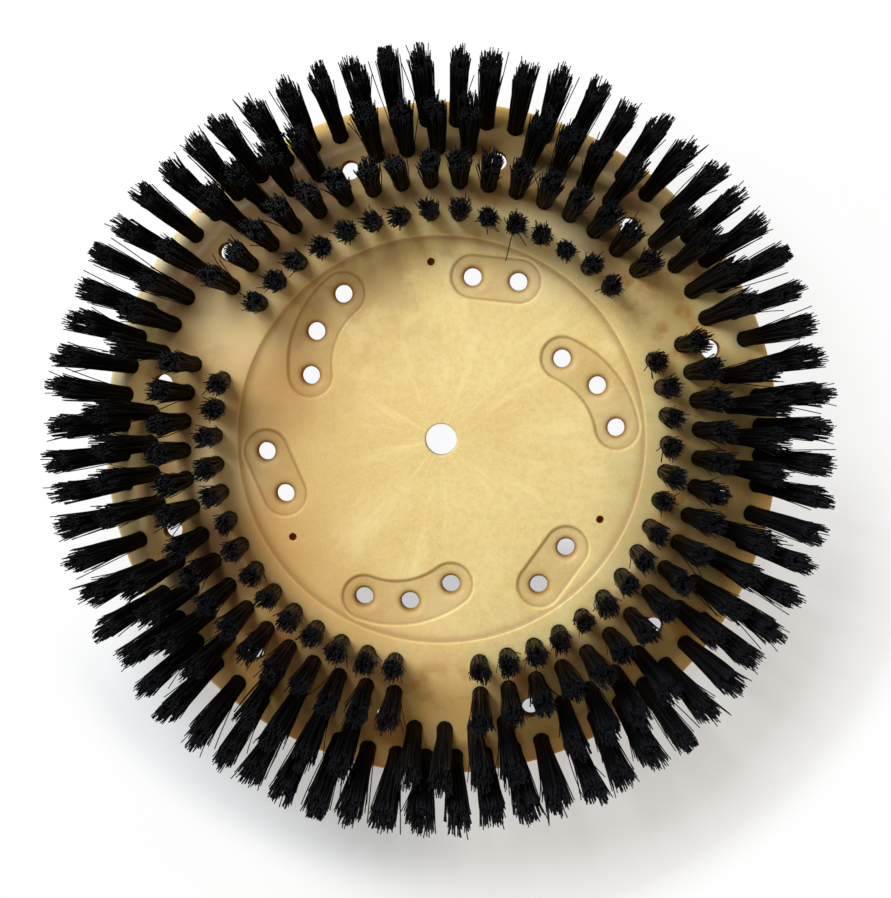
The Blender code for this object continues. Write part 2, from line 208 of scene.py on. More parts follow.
# Tufts: the trim plane, the filaments' sizes, and how far from the axis a filament may reach
TRIM_PLANE = 0.0571
TUFT_RADIUS = 0.0041
TUFT_HOLE_RADIUS = 0.00425
TUFT_HOLE_DEPTH = 0.0030
ROOT_SINK = 0.0026
STRANDS = 215
STRAND_RADIUS = 0.00029
STRAND_SIDES = 3
STRAND_BENDS = 4
REACH = 0.1945

# How one tuft differs from the next: how many are drawn and what share of them is mirrored, the deviation of
# the two leans in degrees, the range of spread, and the clumps that filaments gather in with their shortfall
TUFT_VARIANTS = 14
MIRRORED_SHARE = 0.5
LEAN_DEVIATION = 1.3
SIDEWAYS_DEVIATION = 1.6
SPREAD_RANGE = (0.94, 1.10)
CLUMPS = 8
CLUMP_SHORTFALL = 0.0022

# How the filaments of a tuft differ: the turn from each to the next, the least pull of a clump, the
# deviations of tip, length, bow and drawn-in length, and the share and loss of those that are cut short
GOLDEN_ANGLE = 2.39996
TURN_RANGE = 0.2
LEAST_CLUMPING = 0.05
TIP_DEVIATION = 0.13
LEAST_STRAY_REACH = 1.25
STRAND_SHORTFALL = 0.0007
STRAND_BOW = 0.0005
DRAWN_IN_SHORTFALL = 0.0010
CUT_SHORT = 0.12
CUT_SHORT_LOSS = 0.004

# How a filament's rings gather towards its tip, how late its tuft fans out, and the share that is its tip
RING_GATHERING = 1.5
FAN_POWER = 1.5
TIP_LENGTH = 0.1

# Seed of every random draw
SEED = 20817

# Rows of tufts, from the inside out. A run is its first place, its tufts and the pieces they make up. A tilt
# leans the tufts inwards, most at its angle. The fullest tufts fan out more by a share, most at an angle, and
# the power says how soon that fades away to both sides.
FULLEST_POWER = 5
ROWS = (
    {
        "name": "inner_row",
        "radius": 0.1143,
        "places": 50,
        "first_angle": math.radians(42.3),
        "runs": ((0, 15, 3), (17, 14, 3), (33, 15, 3)),
        "lean": math.radians(0.5),
        "tip_radius": 0.0055,
        "clumping": 0.35,
        "strays": 0.06,
        "stray_reach": 1.5,
        "tilt": math.tan(math.radians(3.0)),
        "tilt_angle": math.radians(115),
    },
    {
        "name": "second_row",
        "radius": 0.1306,
        "places": 56,
        "first_angle": math.radians(41.0),
        "runs": ((0, 17, 3), (19, 16, 3), (37, 17, 3)),
        "lean": math.radians(13),
        "tip_radius": 0.0059,
        "clumping": 0.4,
        "strays": 0.04,
        "stray_reach": 1.6,
    },
    {
        "name": "third_row",
        "radius": 0.1473,
        "places": 60,
        "first_angle": math.radians(24.8),
        "runs": tuple((5 * k, 4, 1) for k in range(FEED_HOLES)),
        "lean": math.radians(27),
        "tip_radius": 0.0062,
        "clumping": 0.5,
        "strays": 0.028,
        "stray_reach": 1.8,
        "tilt": math.tan(math.radians(3.0)),
        "tilt_angle": math.radians(95),
    },
    {
        "name": "outer_row",
        "radius": 0.1610,
        "places": 68,
        "first_angle": math.radians(2.6),
        "runs": ((0, 68, 17),),
        "lean": math.radians(33.0),
        "tip_radius": 0.0058,
        "clumping": 0.55,
        "strays": 0.022,
        "stray_reach": 2.1,
        "fullest": (0.22, math.radians(268)),
    },
)

# Filaments that have come loose from their tuft, as root, bend and tip, under the name of their piece
LOOSE_FILAMENTS = {
    "inner_row_tufts_01": (
        ((0.0368, 0.1070, 0.0380), (0.0355, 0.1045, 0.0560), (0.0319, 0.0886, 0.0500)),
        ((0.0374, 0.1068, 0.0380), (0.0366, 0.1035, 0.0550), (0.0419, 0.0961, 0.0490)),
    ),
}


def face_height(radius):
    """Height of the block's face: level, then falling away towards the rim."""
    return FACE_HEIGHT - math.tan(BEVEL_ANGLE) * max(0.0, radius - BEVEL_START_RADIUS)


def polar(radius, angle):
    return Vector((radius * math.cos(angle), radius * math.sin(angle), 0))


def circle_of(radius, first_angle, count):
    """Even places on a circle round the block's axis."""
    return [polar(radius, first_angle + math.tau * k / count) for k in range(count)]


def bolt_places():
    outer = circle_of(*OUTER_BOLTS, 2 * SECTORS)
    middle = circle_of(*MIDDLE_BOLTS, 2 * SECTORS)
    return outer + middle + circle_of(*INNER_BOLTS, SECTORS)


def feed_places():
    return circle_of(TROUGH_RADIUS, FEED_ANGLE, FEED_HOLES)


def pilot_places():
    return circle_of(PILOT_CIRCLE_RADIUS, PILOT_ANGLE, SECTORS)


def only(kind, geometry):
    return [item for item in geometry if isinstance(item, kind)]


def as_mesh(bm, name):
    """Hand the shape over to a new mesh."""
    mesh = bpy.data.meshes.new(name)
    bm.to_mesh(mesh)
    bm.free()
    return mesh


def finished_mesh(bm, name):
    """Weld, point the faces outwards and hand over the mesh."""
    bmesh.ops.remove_doubles(bm, verts=bm.verts, dist=WELD)
    bmesh.ops.recalc_face_normals(bm, faces=bm.faces)
    return as_mesh(bm, name)


def merge(bm, other):
    """Add another shape, which is used up."""
    made = as_mesh(other, "merged")
    bm.from_mesh(made)
    bpy.data.meshes.remove(made)


def make_piece(name, mesh, material, node):
    """A finished piece that stands for a CAD node."""
    piece = bpy.data.objects.new(name, mesh)
    bpy.context.scene.collection.objects.link(piece)
    mesh.materials.clear()
    mesh.materials.append(material)
    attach(piece, "root")
    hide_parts(node)
    return piece


def turned(corners, steps):
    """A closed section turned about an upright axis. A corner is (radius, height, rounding)."""
    bm = bmesh.new()
    drawn = [bm.verts.new((radius, 0, height)) for radius, height, _ in corners]
    bm.faces.new(drawn)
    for rounding in sorted({corner[2] for corner in corners if corner[2]}):
        same = [vert for vert, corner in zip(drawn, corners) if corner[2] == rounding]
        bmesh.ops.bevel(
            bm,
            geom=same,
            offset=rounding,
            offset_type="OFFSET",
            affect="VERTICES",
            segments=ROUNDING_STEPS,
            profile=0.5,
            material=-1,
        )
    (section,) = bm.faces
    outline = list(section.edges) + list(section.verts)
    bmesh.ops.delete(bm, geom=[section], context="FACES_ONLY")
    bmesh.ops.spin(
        bm,
        geom=outline,
        cent=(0, 0, 0),
        axis=(0, 0, 1),
        angle=math.tau,
        steps=steps,
        use_merge=True,
    )
    return bm


def cut(mesh, cutter):
    """The mesh with the cutter's shape taken out of it."""
    base = bpy.data.objects.new("cut_base", mesh)
    tool = bpy.data.objects.new("cut_tool", cutter)
    for helper in (base, tool):
        bpy.context.scene.collection.objects.link(helper)
    step = base.modifiers.new("cut", "BOOLEAN")
    step.operation = "DIFFERENCE"
    step.solver = "EXACT"
    step.object = tool
    depsgraph = bpy.context.evaluated_depsgraph_get()
    result = bpy.data.meshes.new_from_object(base.evaluated_get(depsgraph))
    for helper in (base, tool):
        bpy.data.objects.remove(helper, do_unlink=True)
    return result


def block_blank():
    """The block before its pockets and holes are cut, but with its centre hole, recess, seat and trough."""
    trough_in = TROUGH_RADIUS - TROUGH_HALF_WIDTH
    trough_out = TROUGH_RADIUS + TROUGH_HALF_WIDTH
    corners = (
        (CENTRE_HOLE_RADIUS, SEAT_DEPTH, CENTRE_HOLE_BACK_ROUND),
        (CENTRE_HOLE_RADIUS, RECESS_FLOOR, CENTRE_HOLE_MOUTH_ROUND),
        *((RECESS_RADIUS - inwards, RECESS_FLOOR + rise, 0) for inwards, rise in RECESS_FOOT),
        (RECESS_RADIUS, FACE_HEIGHT, RECESS_EDGE_ROUND),
        (BEVEL_START_RADIUS, FACE_HEIGHT, BEVEL_START_ROUND),
        (BLOCK_RADIUS, face_height(BLOCK_RADIUS), RIM_TOP_ROUND),
        (BLOCK_RADIUS, 0, RIM_FOOT_ROUND),
        (trough_out, 0, BACK_EDGE_ROUND),
        (trough_out - WALL_DRAFT, TROUGH_DEPTH, BACK_FOOT_ROUND),
        (trough_in + WALL_DRAFT, TROUGH_DEPTH, BACK_FOOT_ROUND),
        (trough_in, 0, BACK_EDGE_ROUND),
        (SEAT_RADIUS, 0, BACK_EDGE_ROUND),
        (SEAT_RADIUS - WALL_DRAFT, SEAT_DEPTH, BACK_FOOT_ROUND),
    )
    return finished_mesh(turned(corners, BLOCK_STEPS), "brush_block_dressed")


def carried(bm, corner, centre, angle, steps):
    """Carry a corner round a centre, which draws an arc, and return the corner at its end."""
    drawn = bmesh.ops.spin(bm, geom=[corner], cent=centre, axis=(0, 0, 1), angle=angle, steps=steps)
    return only(bmesh.types.BMVert, drawn["geom_last"])[0]


def circle_centre(first, middle, last):
    """Centre of the circle through three points of a level plane."""
    ab = middle - first
    ac = last - first
    twice_area = 2 * (ab.x * ac.y - ab.y * ac.x)
    offset_x = (ac.y * ab.length_squared - ab.y * ac.length_squared) / twice_area
    offset_y = (ab.x * ac.length_squared - ac.x * ab.length_squared) / twice_area
    return first + Vector((offset_x, offset_y, 0))


def pocket_outline(bm, holes, half_width):
    """The even-width slot round a row of two or three bolt holes."""
    first, last = holes[0], holes[-1]
    if len(holes) == 2:
        along = last - first
        side = along.cross(Vector((0, 0, 1))).normalized()
        start = bm.verts.new(first + side * half_width)
        far = bm.verts.new(last + side * half_width)
        bm.edges.new((start, far))
        corner = carried(bm, far, last, math.pi, POCKET_END_STEPS)
        back = bm.verts.new(first - side * half_width)
        bm.edges.new((corner, back))
        carried(bm, back, first, math.pi, POCKET_END_STEPS)
    else:
        centre = circle_centre(*holes)
        spoke_first = first - centre
        spoke_last = last - centre
        turn = math.remainder(
            math.atan2(spoke_last.y, spoke_last.x) - math.atan2(spoke_first.y, spoke_first.x), math.tau
        )
        half_turn = math.copysign(1, turn) * math.pi
        start = bm.verts.new(first + spoke_first.normalized() * half_width)
        corner = carried(bm, start, centre, turn, POCKET_SIDE_STEPS)
        corner = carried(bm, corner, last, half_turn, POCKET_END_STEPS)
        corner = carried(bm, corner, centre, -turn, POCKET_SIDE_STEPS)
        carried(bm, corner, first, half_turn, POCKET_END_STEPS)
    bmesh.ops.remove_doubles(bm, verts=bm.verts, dist=WELD)


def add_pocket(bm, holes):
    """One pocket's cutter: it starts above the recess floor and steps in and down to its own floor."""
    pocket = bmesh.new()
    pocket_outline(pocket, holes, POCKET_HALF_WIDTH + POCKET_LIP)
    bmesh.ops.contextual_create(pocket, geom=pocket.edges)
    bmesh.ops.translate(pocket, verts=pocket.verts, vec=(0, 0, RECESS_FLOOR))
    grown = bmesh.ops.extrude_face_region(pocket, geom=list(pocket.faces))
    risen = only(bmesh.types.BMVert, grown["geom"])
    bmesh.ops.translate(pocket, verts=risen, vec=(0, 0, CUT_OVERRUN))
    bmesh.ops.recalc_face_normals(pocket, faces=pocket.faces)
    bottom = min(pocket.faces, key=lambda face: face.calc_center_median().z)
    for inwards, down in POCKET_STEPS:
        bmesh.ops.inset_region(pocket, faces=[bottom], thickness=inwards, depth=down, use_even_offset=True)
    merge(bm, pocket)


def pocket_cutter():
    """A pocket of three bolt holes and one of two in each sector."""
    bm = bmesh.new()
    for sector in range(SECTORS):
        turn = math.tau * sector / SECTORS
        half_turn = turn + math.pi / SECTORS
        three = [polar(radius, angle + turn) for radius, angle in (INNER_BOLTS, MIDDLE_BOLTS, OUTER_BOLTS)]
        two = [polar(radius, angle + half_turn) for radius, angle in (MIDDLE_BOLTS, OUTER_BOLTS)]
        add_pocket(bm, three)
        add_pocket(bm, two)
    return finished_mesh(bm, "pocket_cutter")


def chamfered_mouth(radius, height, chamfer):
    """Corners of the top of a hole's cutter, from its axis out and down to the hole's wall."""
    return (
        (0, height + CUT_OVERRUN, 0),
        (radius + CUT_OVERRUN + chamfer, height + CUT_OVERRUN, 0),
        (radius, height - chamfer, chamfer),
    )


def chamfered_back(radius, height):
    """Corners of the foot of a hole's cutter, where the hole comes out of the seat or the trough."""
    return (
        (radius, height + BACK_CHAMFER, 0),
        (radius + CUT_OVERRUN + BACK_CHAMFER, height - CUT_OVERRUN, 0),
        (0, height - CUT_OVERRUN, 0),
    )


def add_tuft_holes(bm):
    """The cutters of the holes that the tufts stand in, each leaning as its row does."""
    depth = TUFT_HOLE_DEPTH + 2 * CUT_OVERRUN
    for row in ROWS:
        for first, tufts, _ in row["runs"]:
            for number in range(first, first + tufts):
                angle = row["first_angle"] + number * math.tau / row["places"]
                foot = Matrix.Translation((row["radius"], 0, face_height(row["radius"])))
                lean = Matrix.Rotation(angle, 4, "Z") @ foot @ Matrix.Rotation(row["lean"], 4, "Y")
                bmesh.ops.create_cone(
                    bm,
                    cap_ends=True,
                    segments=SMALL_HOLE_STEPS,
                    radius1=TUFT_HOLE_RADIUS,
                    radius2=TUFT_HOLE_RADIUS,
                    depth=depth,
                    matrix=lean @ Matrix.Translation((0, 0, depth / 2 - TUFT_HOLE_DEPTH)),
                )


def hole_cutter():
    """The cutter of all the round holes and of the ejector pin's mark."""
    mouth = POCKET_FLOOR + POCKET_DEPTH / 2
    bolt = (
        (0, mouth, 0),
        (BOLT_DISH[0][0], mouth, 0),
        *((distance, POCKET_FLOOR - drop, 0) for distance, drop in BOLT_DISH),
        *chamfered_back(BOLT_HOLE_RADIUS, SEAT_DEPTH),
    )
    feed = (
        *chamfered_mouth(FEED_HOLE_RADIUS, FACE_HEIGHT, FEED_MOUTH_CHAMFER),
        *chamfered_back(FEED_HOLE_RADIUS, TROUGH_DEPTH),
    )
    pilot = (
        *chamfered_mouth(PILOT_RADIUS, RECESS_FLOOR, PILOT_MOUTH_CHAMFER),
        (PILOT_RADIUS, RECESS_FLOOR - PILOT_DEPTH, 0),
        (0, RECESS_FLOOR - PILOT_DEPTH - PILOT_POINT, 0),
    )
    groove = (
        (EJECTOR_RADIUS - EJECTOR_GROOVE, FACE_HEIGHT + EJECTOR_GROOVE, 0),
        (EJECTOR_RADIUS, FACE_HEIGHT - EJECTOR_GROOVE_DEPTH, 0),
        (EJECTOR_RADIUS + EJECTOR_GROOVE, FACE_HEIGHT + EJECTOR_GROOVE, 0),
    )
    bm = bmesh.new()
    for corners, steps, places in (
        (bolt, HOLE_STEPS, bolt_places()),
        (feed, HOLE_STEPS, feed_places()),
        (pilot, SMALL_HOLE_STEPS, pilot_places()),
        (groove, HOLE_STEPS, [polar(*EJECTOR_MARK)]),
    ):
        for place in places:
            cutter = turned(corners, steps)
            bmesh.ops.translate(cutter, verts=cutter.verts, vec=place)
            bmesh.ops.remove_doubles(cutter, verts=cutter.verts, dist=WELD)
            merge(bm, cutter)
    add_tuft_holes(bm)
    return finished_mesh(bm, "hole_cutter")


def mark_holes(mesh):
    """Marks the points inside the holes: a darker orange-brown in the pilot holes, and painted shade on the
    walls of the others.
    """
    pilot_hole_dark = mesh.attributes.new("pilot_hole_dark", "FLOAT", "POINT")
    hole_wall_shade = mesh.attributes.new("hole_wall_shade", "FLOAT", "POINT")
    kinds = (
        (pilot_hole_dark, pilot_places(), PILOT_RADIUS, RECESS_FLOOR - MOUTH_CLEARANCE),
        (hole_wall_shade, bolt_places(), BOLT_HOLE_RADIUS, POCKET_FLOOR - DISH_CLEARANCE),
        (hole_wall_shade, feed_places(), FEED_HOLE_RADIUS, FACE_HEIGHT - MOUTH_CLEARANCE),
    )
    for number, point in enumerate(mesh.vertices):
        for shade, centres, radius, top in kinds:
            if TROUGH_DEPTH + BACK_CLEARANCE < point.co.z < top:
                if any((point.co.xy - centre.xy).length < radius * SHADE_REACH for centre in centres):
                    shade.data[number].value = 1.0


def build_block(material):
    mesh = block_blank()
    for cutter in (pocket_cutter(), hole_cutter()):
        mesh = cut(mesh, cutter)
    mesh.name = "brush_block_dressed"
    mark_holes(mesh)
    mesh.shade_smooth()
    mesh.set_sharp_from_angle(angle=SHARP_ANGLE)
    piece = make_piece("brush_block_dressed", mesh, material, "brush_block")
    even = piece.modifiers.new("even_shading", "WEIGHTED_NORMAL")
    even.keep_sharp = True


def strand_mesh():
    """One filament: a straight rod a unit long, in rings that let it bend."""
    bm = bmesh.new()
    bmesh.ops.create_cone(
        bm,
        cap_ends=True,
        segments=STRAND_SIDES,
        radius1=STRAND_RADIUS,
        radius2=STRAND_RADIUS,
        depth=1,
        matrix=Matrix.Translation((0, 0, 0.5)),
    )
    long_edges = [edge for edge in bm.edges if abs(edge.verts[0].co.z - edge.verts[1].co.z) > 0.5]
    bmesh.ops.subdivide_edges(bm, edges=long_edges, cuts=STRAND_BENDS)
    return as_mesh(bm, "strand")


def add_strand(bm, strand):
    """Add a straight filament and return its points."""
    start = len(bm.verts)
    bm.from_mesh(strand)
    bm.verts.ensure_lookup_table()
    return bm.verts[start:]


def draw_in(place):
    """Bring a point that lies too far from the axis back within reach."""
    far = place.xy.length
    if far > REACH:
        place.xy = place.xy * REACH / far


def tuft_mesh(strand, row, rng):
    """One bunch of filaments, rooted at its place in the row on the X axis and trimmed off level."""
    bm = bmesh.new()
    tone_layer = bm.verts.layers.float.new("strand_tone")
    tip_layer = bm.verts.layers.float.new("strand_tip")
    root = Vector((row["radius"], 0, face_height(row["radius"])))
    lean = row["lean"] + math.radians(rng.gauss(0, LEAN_DEVIATION))
    sideways = math.radians(rng.gauss(0, SIDEWAYS_DEVIATION))
    axis = Vector((math.sin(lean), math.tan(sideways), math.cos(lean))).normalized()
    outward = Vector((math.cos(lean), 0, -math.sin(lean)))
    across = axis.cross(outward)
    length = (TRIM_PLANE - root.z) / axis.z
    core = TUFT_RADIUS - STRAND_RADIUS
    spread = row["tip_radius"] * rng.uniform(*SPREAD_RANGE)
    clumps = [
        (rng.uniform(-1, 1), rng.uniform(-1, 1), abs(rng.gauss(0, CLUMP_SHORTFALL)))
        for _ in range(CLUMPS)
    ]
    twist = rng.uniform(0, math.tau)
    # Each filament has its place across the bunch: u and p run outwards, v and q sideways
    for number in range(STRANDS):
        rho = math.sqrt((number + 0.5) / STRANDS)
        phi = twist + number * GOLDEN_ANGLE + rng.uniform(-TURN_RANGE, TURN_RANGE)
        u, v = rho * math.cos(phi), rho * math.sin(phi)
        clump = min(clumps, key=lambda c: (c[0] - u) ** 2 + (c[1] - v) ** 2)
        pull = rng.uniform(LEAST_CLUMPING, row["clumping"])
        tip_u = u + (clump[0] - u) * pull + rng.gauss(0, TIP_DEVIATION)
        tip_v = v + (clump[1] - v) * pull + rng.gauss(0, TIP_DEVIATION)
        if rng.random() < row["strays"]:
            wild = rng.uniform(LEAST_STRAY_REACH, row["stray_reach"])
            tip_u, tip_v = tip_u * wild, tip_v * wild
        shortfall = clump[2] + abs(rng.gauss(0, STRAND_SHORTFALL))
        if rng.random() < CUT_SHORT:
            shortfall += rng.uniform(0, CUT_SHORT_LOSS)
        reach = length - shortfall / axis.z + tip_u * spread * math.tan(lean)
        end = root + axis * reach + outward * spread * tip_u + across * spread * tip_v
        beyond = end.xy.length - REACH
        if beyond > 0:
            reach -= beyond / axis.x + abs(rng.gauss(0, DRAWN_IN_SHORTFALL))
        bend = Vector((rng.gauss(0, STRAND_BOW), rng.gauss(0, STRAND_BOW)))
        tone = rng.random()
        turn = Matrix.Rotation(rng.uniform(0, math.tau), 2)
        for vert in add_strand(bm, strand):
            share = 1 - (1 - vert.co.z) ** RING_GATHERING
            along = -ROOT_SINK + share * (reach + ROOT_SINK)
            out = max(0.0, along / length)
            fan = out**FAN_POWER
            bow = 4 * out * (1 - out)
            p = core * u * (1 - fan) + spread * tip_u * fan + bend.x * bow
            q = core * v * (1 - fan) + spread * tip_v * fan + bend.y * bow
            edge = turn @ vert.co.xy
            place = root + axis * along + outward * (p + edge.x) + across * (q + edge.y)
            place.z = min(place.z, TRIM_PLANE)
            draw_in(place)
            vert.co = place
            vert[tone_layer] = tone
            vert[tip_layer] = max(0.0, (share - (1 - TIP_LENGTH)) / TIP_LENGTH)
    return as_mesh(bm, "tuft")


def add_bent_strand(bm, strand, root, over, tip):
    """A loose filament, bent over from its root to its tip."""
    for vert in add_strand(bm, strand):
        share = vert.co.z
        along = (over - root) * (1 - share) + (tip - over) * share
        side = along.cross(Vector((0, 0, 1))).normalized()
        rise = side.cross(along).normalized()
        spine = root * (1 - share) ** 2 + over * 2 * share * (1 - share) + tip * share**2
        vert.co = spine + side * vert.co.x + rise * vert.co.y


def leant_in(row, share):
    """The shear that leans a tuft towards the axis by a share of its height above the face."""
    shear = Matrix.Identity(4)
    shear[0][2] = -share
    shear[0][3] = share * face_height(row["radius"])
    return shear


def fan_out(tuft, row, share):
    """Spread a tuft's tips sideways by a share, and the rest of it in proportion to its height."""
    foot = face_height(row["radius"])
    for vert in tuft.vertices:
        vert.co.y *= 1 + share * max(0.0, vert.co.z - foot) / (TRIM_PLANE - foot)
        draw_in(vert.co)


def stand_up(tuft, row, angle, mirrored):
    """Turn a tuft to its place in the row, tilted and fanned out as the row's tufts are there."""
    turn = Matrix.Rotation(angle, 4, "Z")
    if "tilt" in row:
        turn = turn @ leant_in(row, row["tilt"] * max(0.0, math.cos(angle - row["tilt_angle"])))
    if "fullest" in row:
        share, fullest_angle = row["fullest"]
        fan_out(tuft, row, share * max(0.0, math.cos(angle - fullest_angle)) ** FULLEST_POWER)
    if mirrored:
        turn = turn @ Matrix.Scale(-1, 4, (0, 1, 0))
    tuft.transform(turn)
    if mirrored:
        tuft.flip_normals()


def build_row(row, strand, material, rng):
    """The row's pieces, one for each arc of tufts in the frame."""
    variants = [tuft_mesh(strand, row, rng) for _ in range(TUFT_VARIANTS)]
    order = []
    pitch = math.tau / row["places"]
    number = 0
    for first, run_tufts, arcs in row["runs"]:
        place = first
        for arc in range(arcs):
            number += 1
            bm = bmesh.new()
            for _ in range(run_tufts // arcs + (arc < run_tufts % arcs)):
                if not order:
                    order = rng.sample(range(TUFT_VARIANTS), TUFT_VARIANTS)
                tuft = variants[order.pop()].copy()
                mirrored = rng.random() < MIRRORED_SHARE
                stand_up(tuft, row, row["first_angle"] + place * pitch, mirrored)
                bm.from_mesh(tuft)
                bpy.data.meshes.remove(tuft)
                place += 1
            name = f"{row['name']}_tufts_{number:02d}"
            for root, over, tip in LOOSE_FILAMENTS.get(name, ()):
                add_bent_strand(bm, strand, Vector(root), Vector(over), Vector(tip))
            node = f"{row['name']}_bristles_{number:02d}"
            make_piece(name, as_mesh(bm, name), material, node)


def srgb(red, green, blue):
    """Linear colour of an sRGB colour given as 0 to 255."""
    shares = [value / 255 for value in (red, green, blue)]
    return tuple(v / 12.92 if v <= 0.04045 else ((v + 0.055) / 1.055) ** 2.4 for v in shares)


class Shading:
    """A material's nodes, with short ways to add and join them."""

    def __init__(self, name):
        self.material = bpy.data.materials.new(name)
        self.material.use_nodes = True
        self.nodes = self.material.node_tree.nodes
        self.links = self.material.node_tree.links
        self.shader = self.nodes["Principled BSDF"]
        self.place = self.add("ShaderNodeTexCoord").outputs["Object"]

    def put(self, socket, value):
        """Link a socket to another, or set it to a plain value."""
        if isinstance(value, bpy.types.NodeSocket):
            self.links.new(value, socket)
        else:
            socket.default_value = value

    def set(self, name, value):
        """Give one of the shader's own sockets its value."""
        self.put(self.shader.inputs[name], value)

    def add(self, kind, inputs=None, **settings):
        node = self.nodes.new(kind)
        for key, value in settings.items():
            setattr(node, key, value)
        for key, value in (inputs or {}).items():
            self.put(node.inputs[key], value)
        return node

    def number(self, operation, *values):
        """A sum on one or two numbers."""
        return self.add("ShaderNodeMath", dict(enumerate(values)), operation=operation).outputs[0]

    def times(self, product, *others):
        for other in others:
            product = self.number("MULTIPLY", product, other)
        return product

    def highest(self, highest, *others):
        for other in others:
            highest = self.number("MAXIMUM", highest, other)
        return highest

    def measure(self, operation, *vectors):
        """A number taken from one or two vectors."""
        node = self.add("ShaderNodeVectorMath", dict(enumerate(vectors)), operation=operation)
        return node.outputs["Value"]

    def direction(self, vector):
        return self.add("ShaderNodeVectorMath", {0: vector}, operation="NORMALIZE").outputs[0]

    def parts(self, vector):
        return self.add("ShaderNodeSeparateXYZ", {0: vector}).outputs

    def joined(self, *parts):
        return self.add("ShaderNodeCombineXYZ", dict(enumerate(parts))).outputs[0]

    def attribute(self, name):
        return self.add("ShaderNodeAttribute", attribute_name=name).outputs["Fac"]

    def ramp(self, value, low, high, out_low=0.0, out_high=1.0):
        """Value carried from one range to another, eased at both ends."""
        inputs = {"Value": value, "From Min": low, "From Max": high, "To Min": out_low, "To Max": out_high}
        return self.add("ShaderNodeMapRange", inputs, interpolation_type="SMOOTHSTEP").outputs["Result"]

    def window(self, value, start, rise, top, fall):
        """One just above the start, fading in over the rise and out between the top and the fall."""
        above = self.ramp(value, start, start + rise)
        below = self.ramp(value, start + fall, start + top)
        return self.times(above, below)

    def noise(self, vector, scale, detail, roughness):
        inputs = {"Vector": vector, "Scale": scale, "Detail": detail, "Roughness": roughness}
        return self.add("ShaderNodeTexNoise", inputs).outputs["Fac"]

    def mix(self, factor, first, second):
        """One colour carried into another. A plain colour is (red, green, blue)."""
        node = self.add("ShaderNodeMix", {0: factor}, data_type="RGBA")
        for socket, colour in ((6, first), (7, second)):
            self.put(node.inputs[socket], (*colour, 1.0) if isinstance(colour, tuple) else colour)
        return node.outputs[2]

    def spots(self, vector, places, reach, core):
        """Deepest shade of round spots, each a distance from the axis, an angle in degrees and a depth."""
        deepest = 0.0
        for distance, angle, depth in places:
            away = self.measure("DISTANCE", vector, polar(distance, math.radians(angle)))
            deepest = self.highest(deepest, self.ramp(away, reach, core, 0.0, depth))
        return deepest


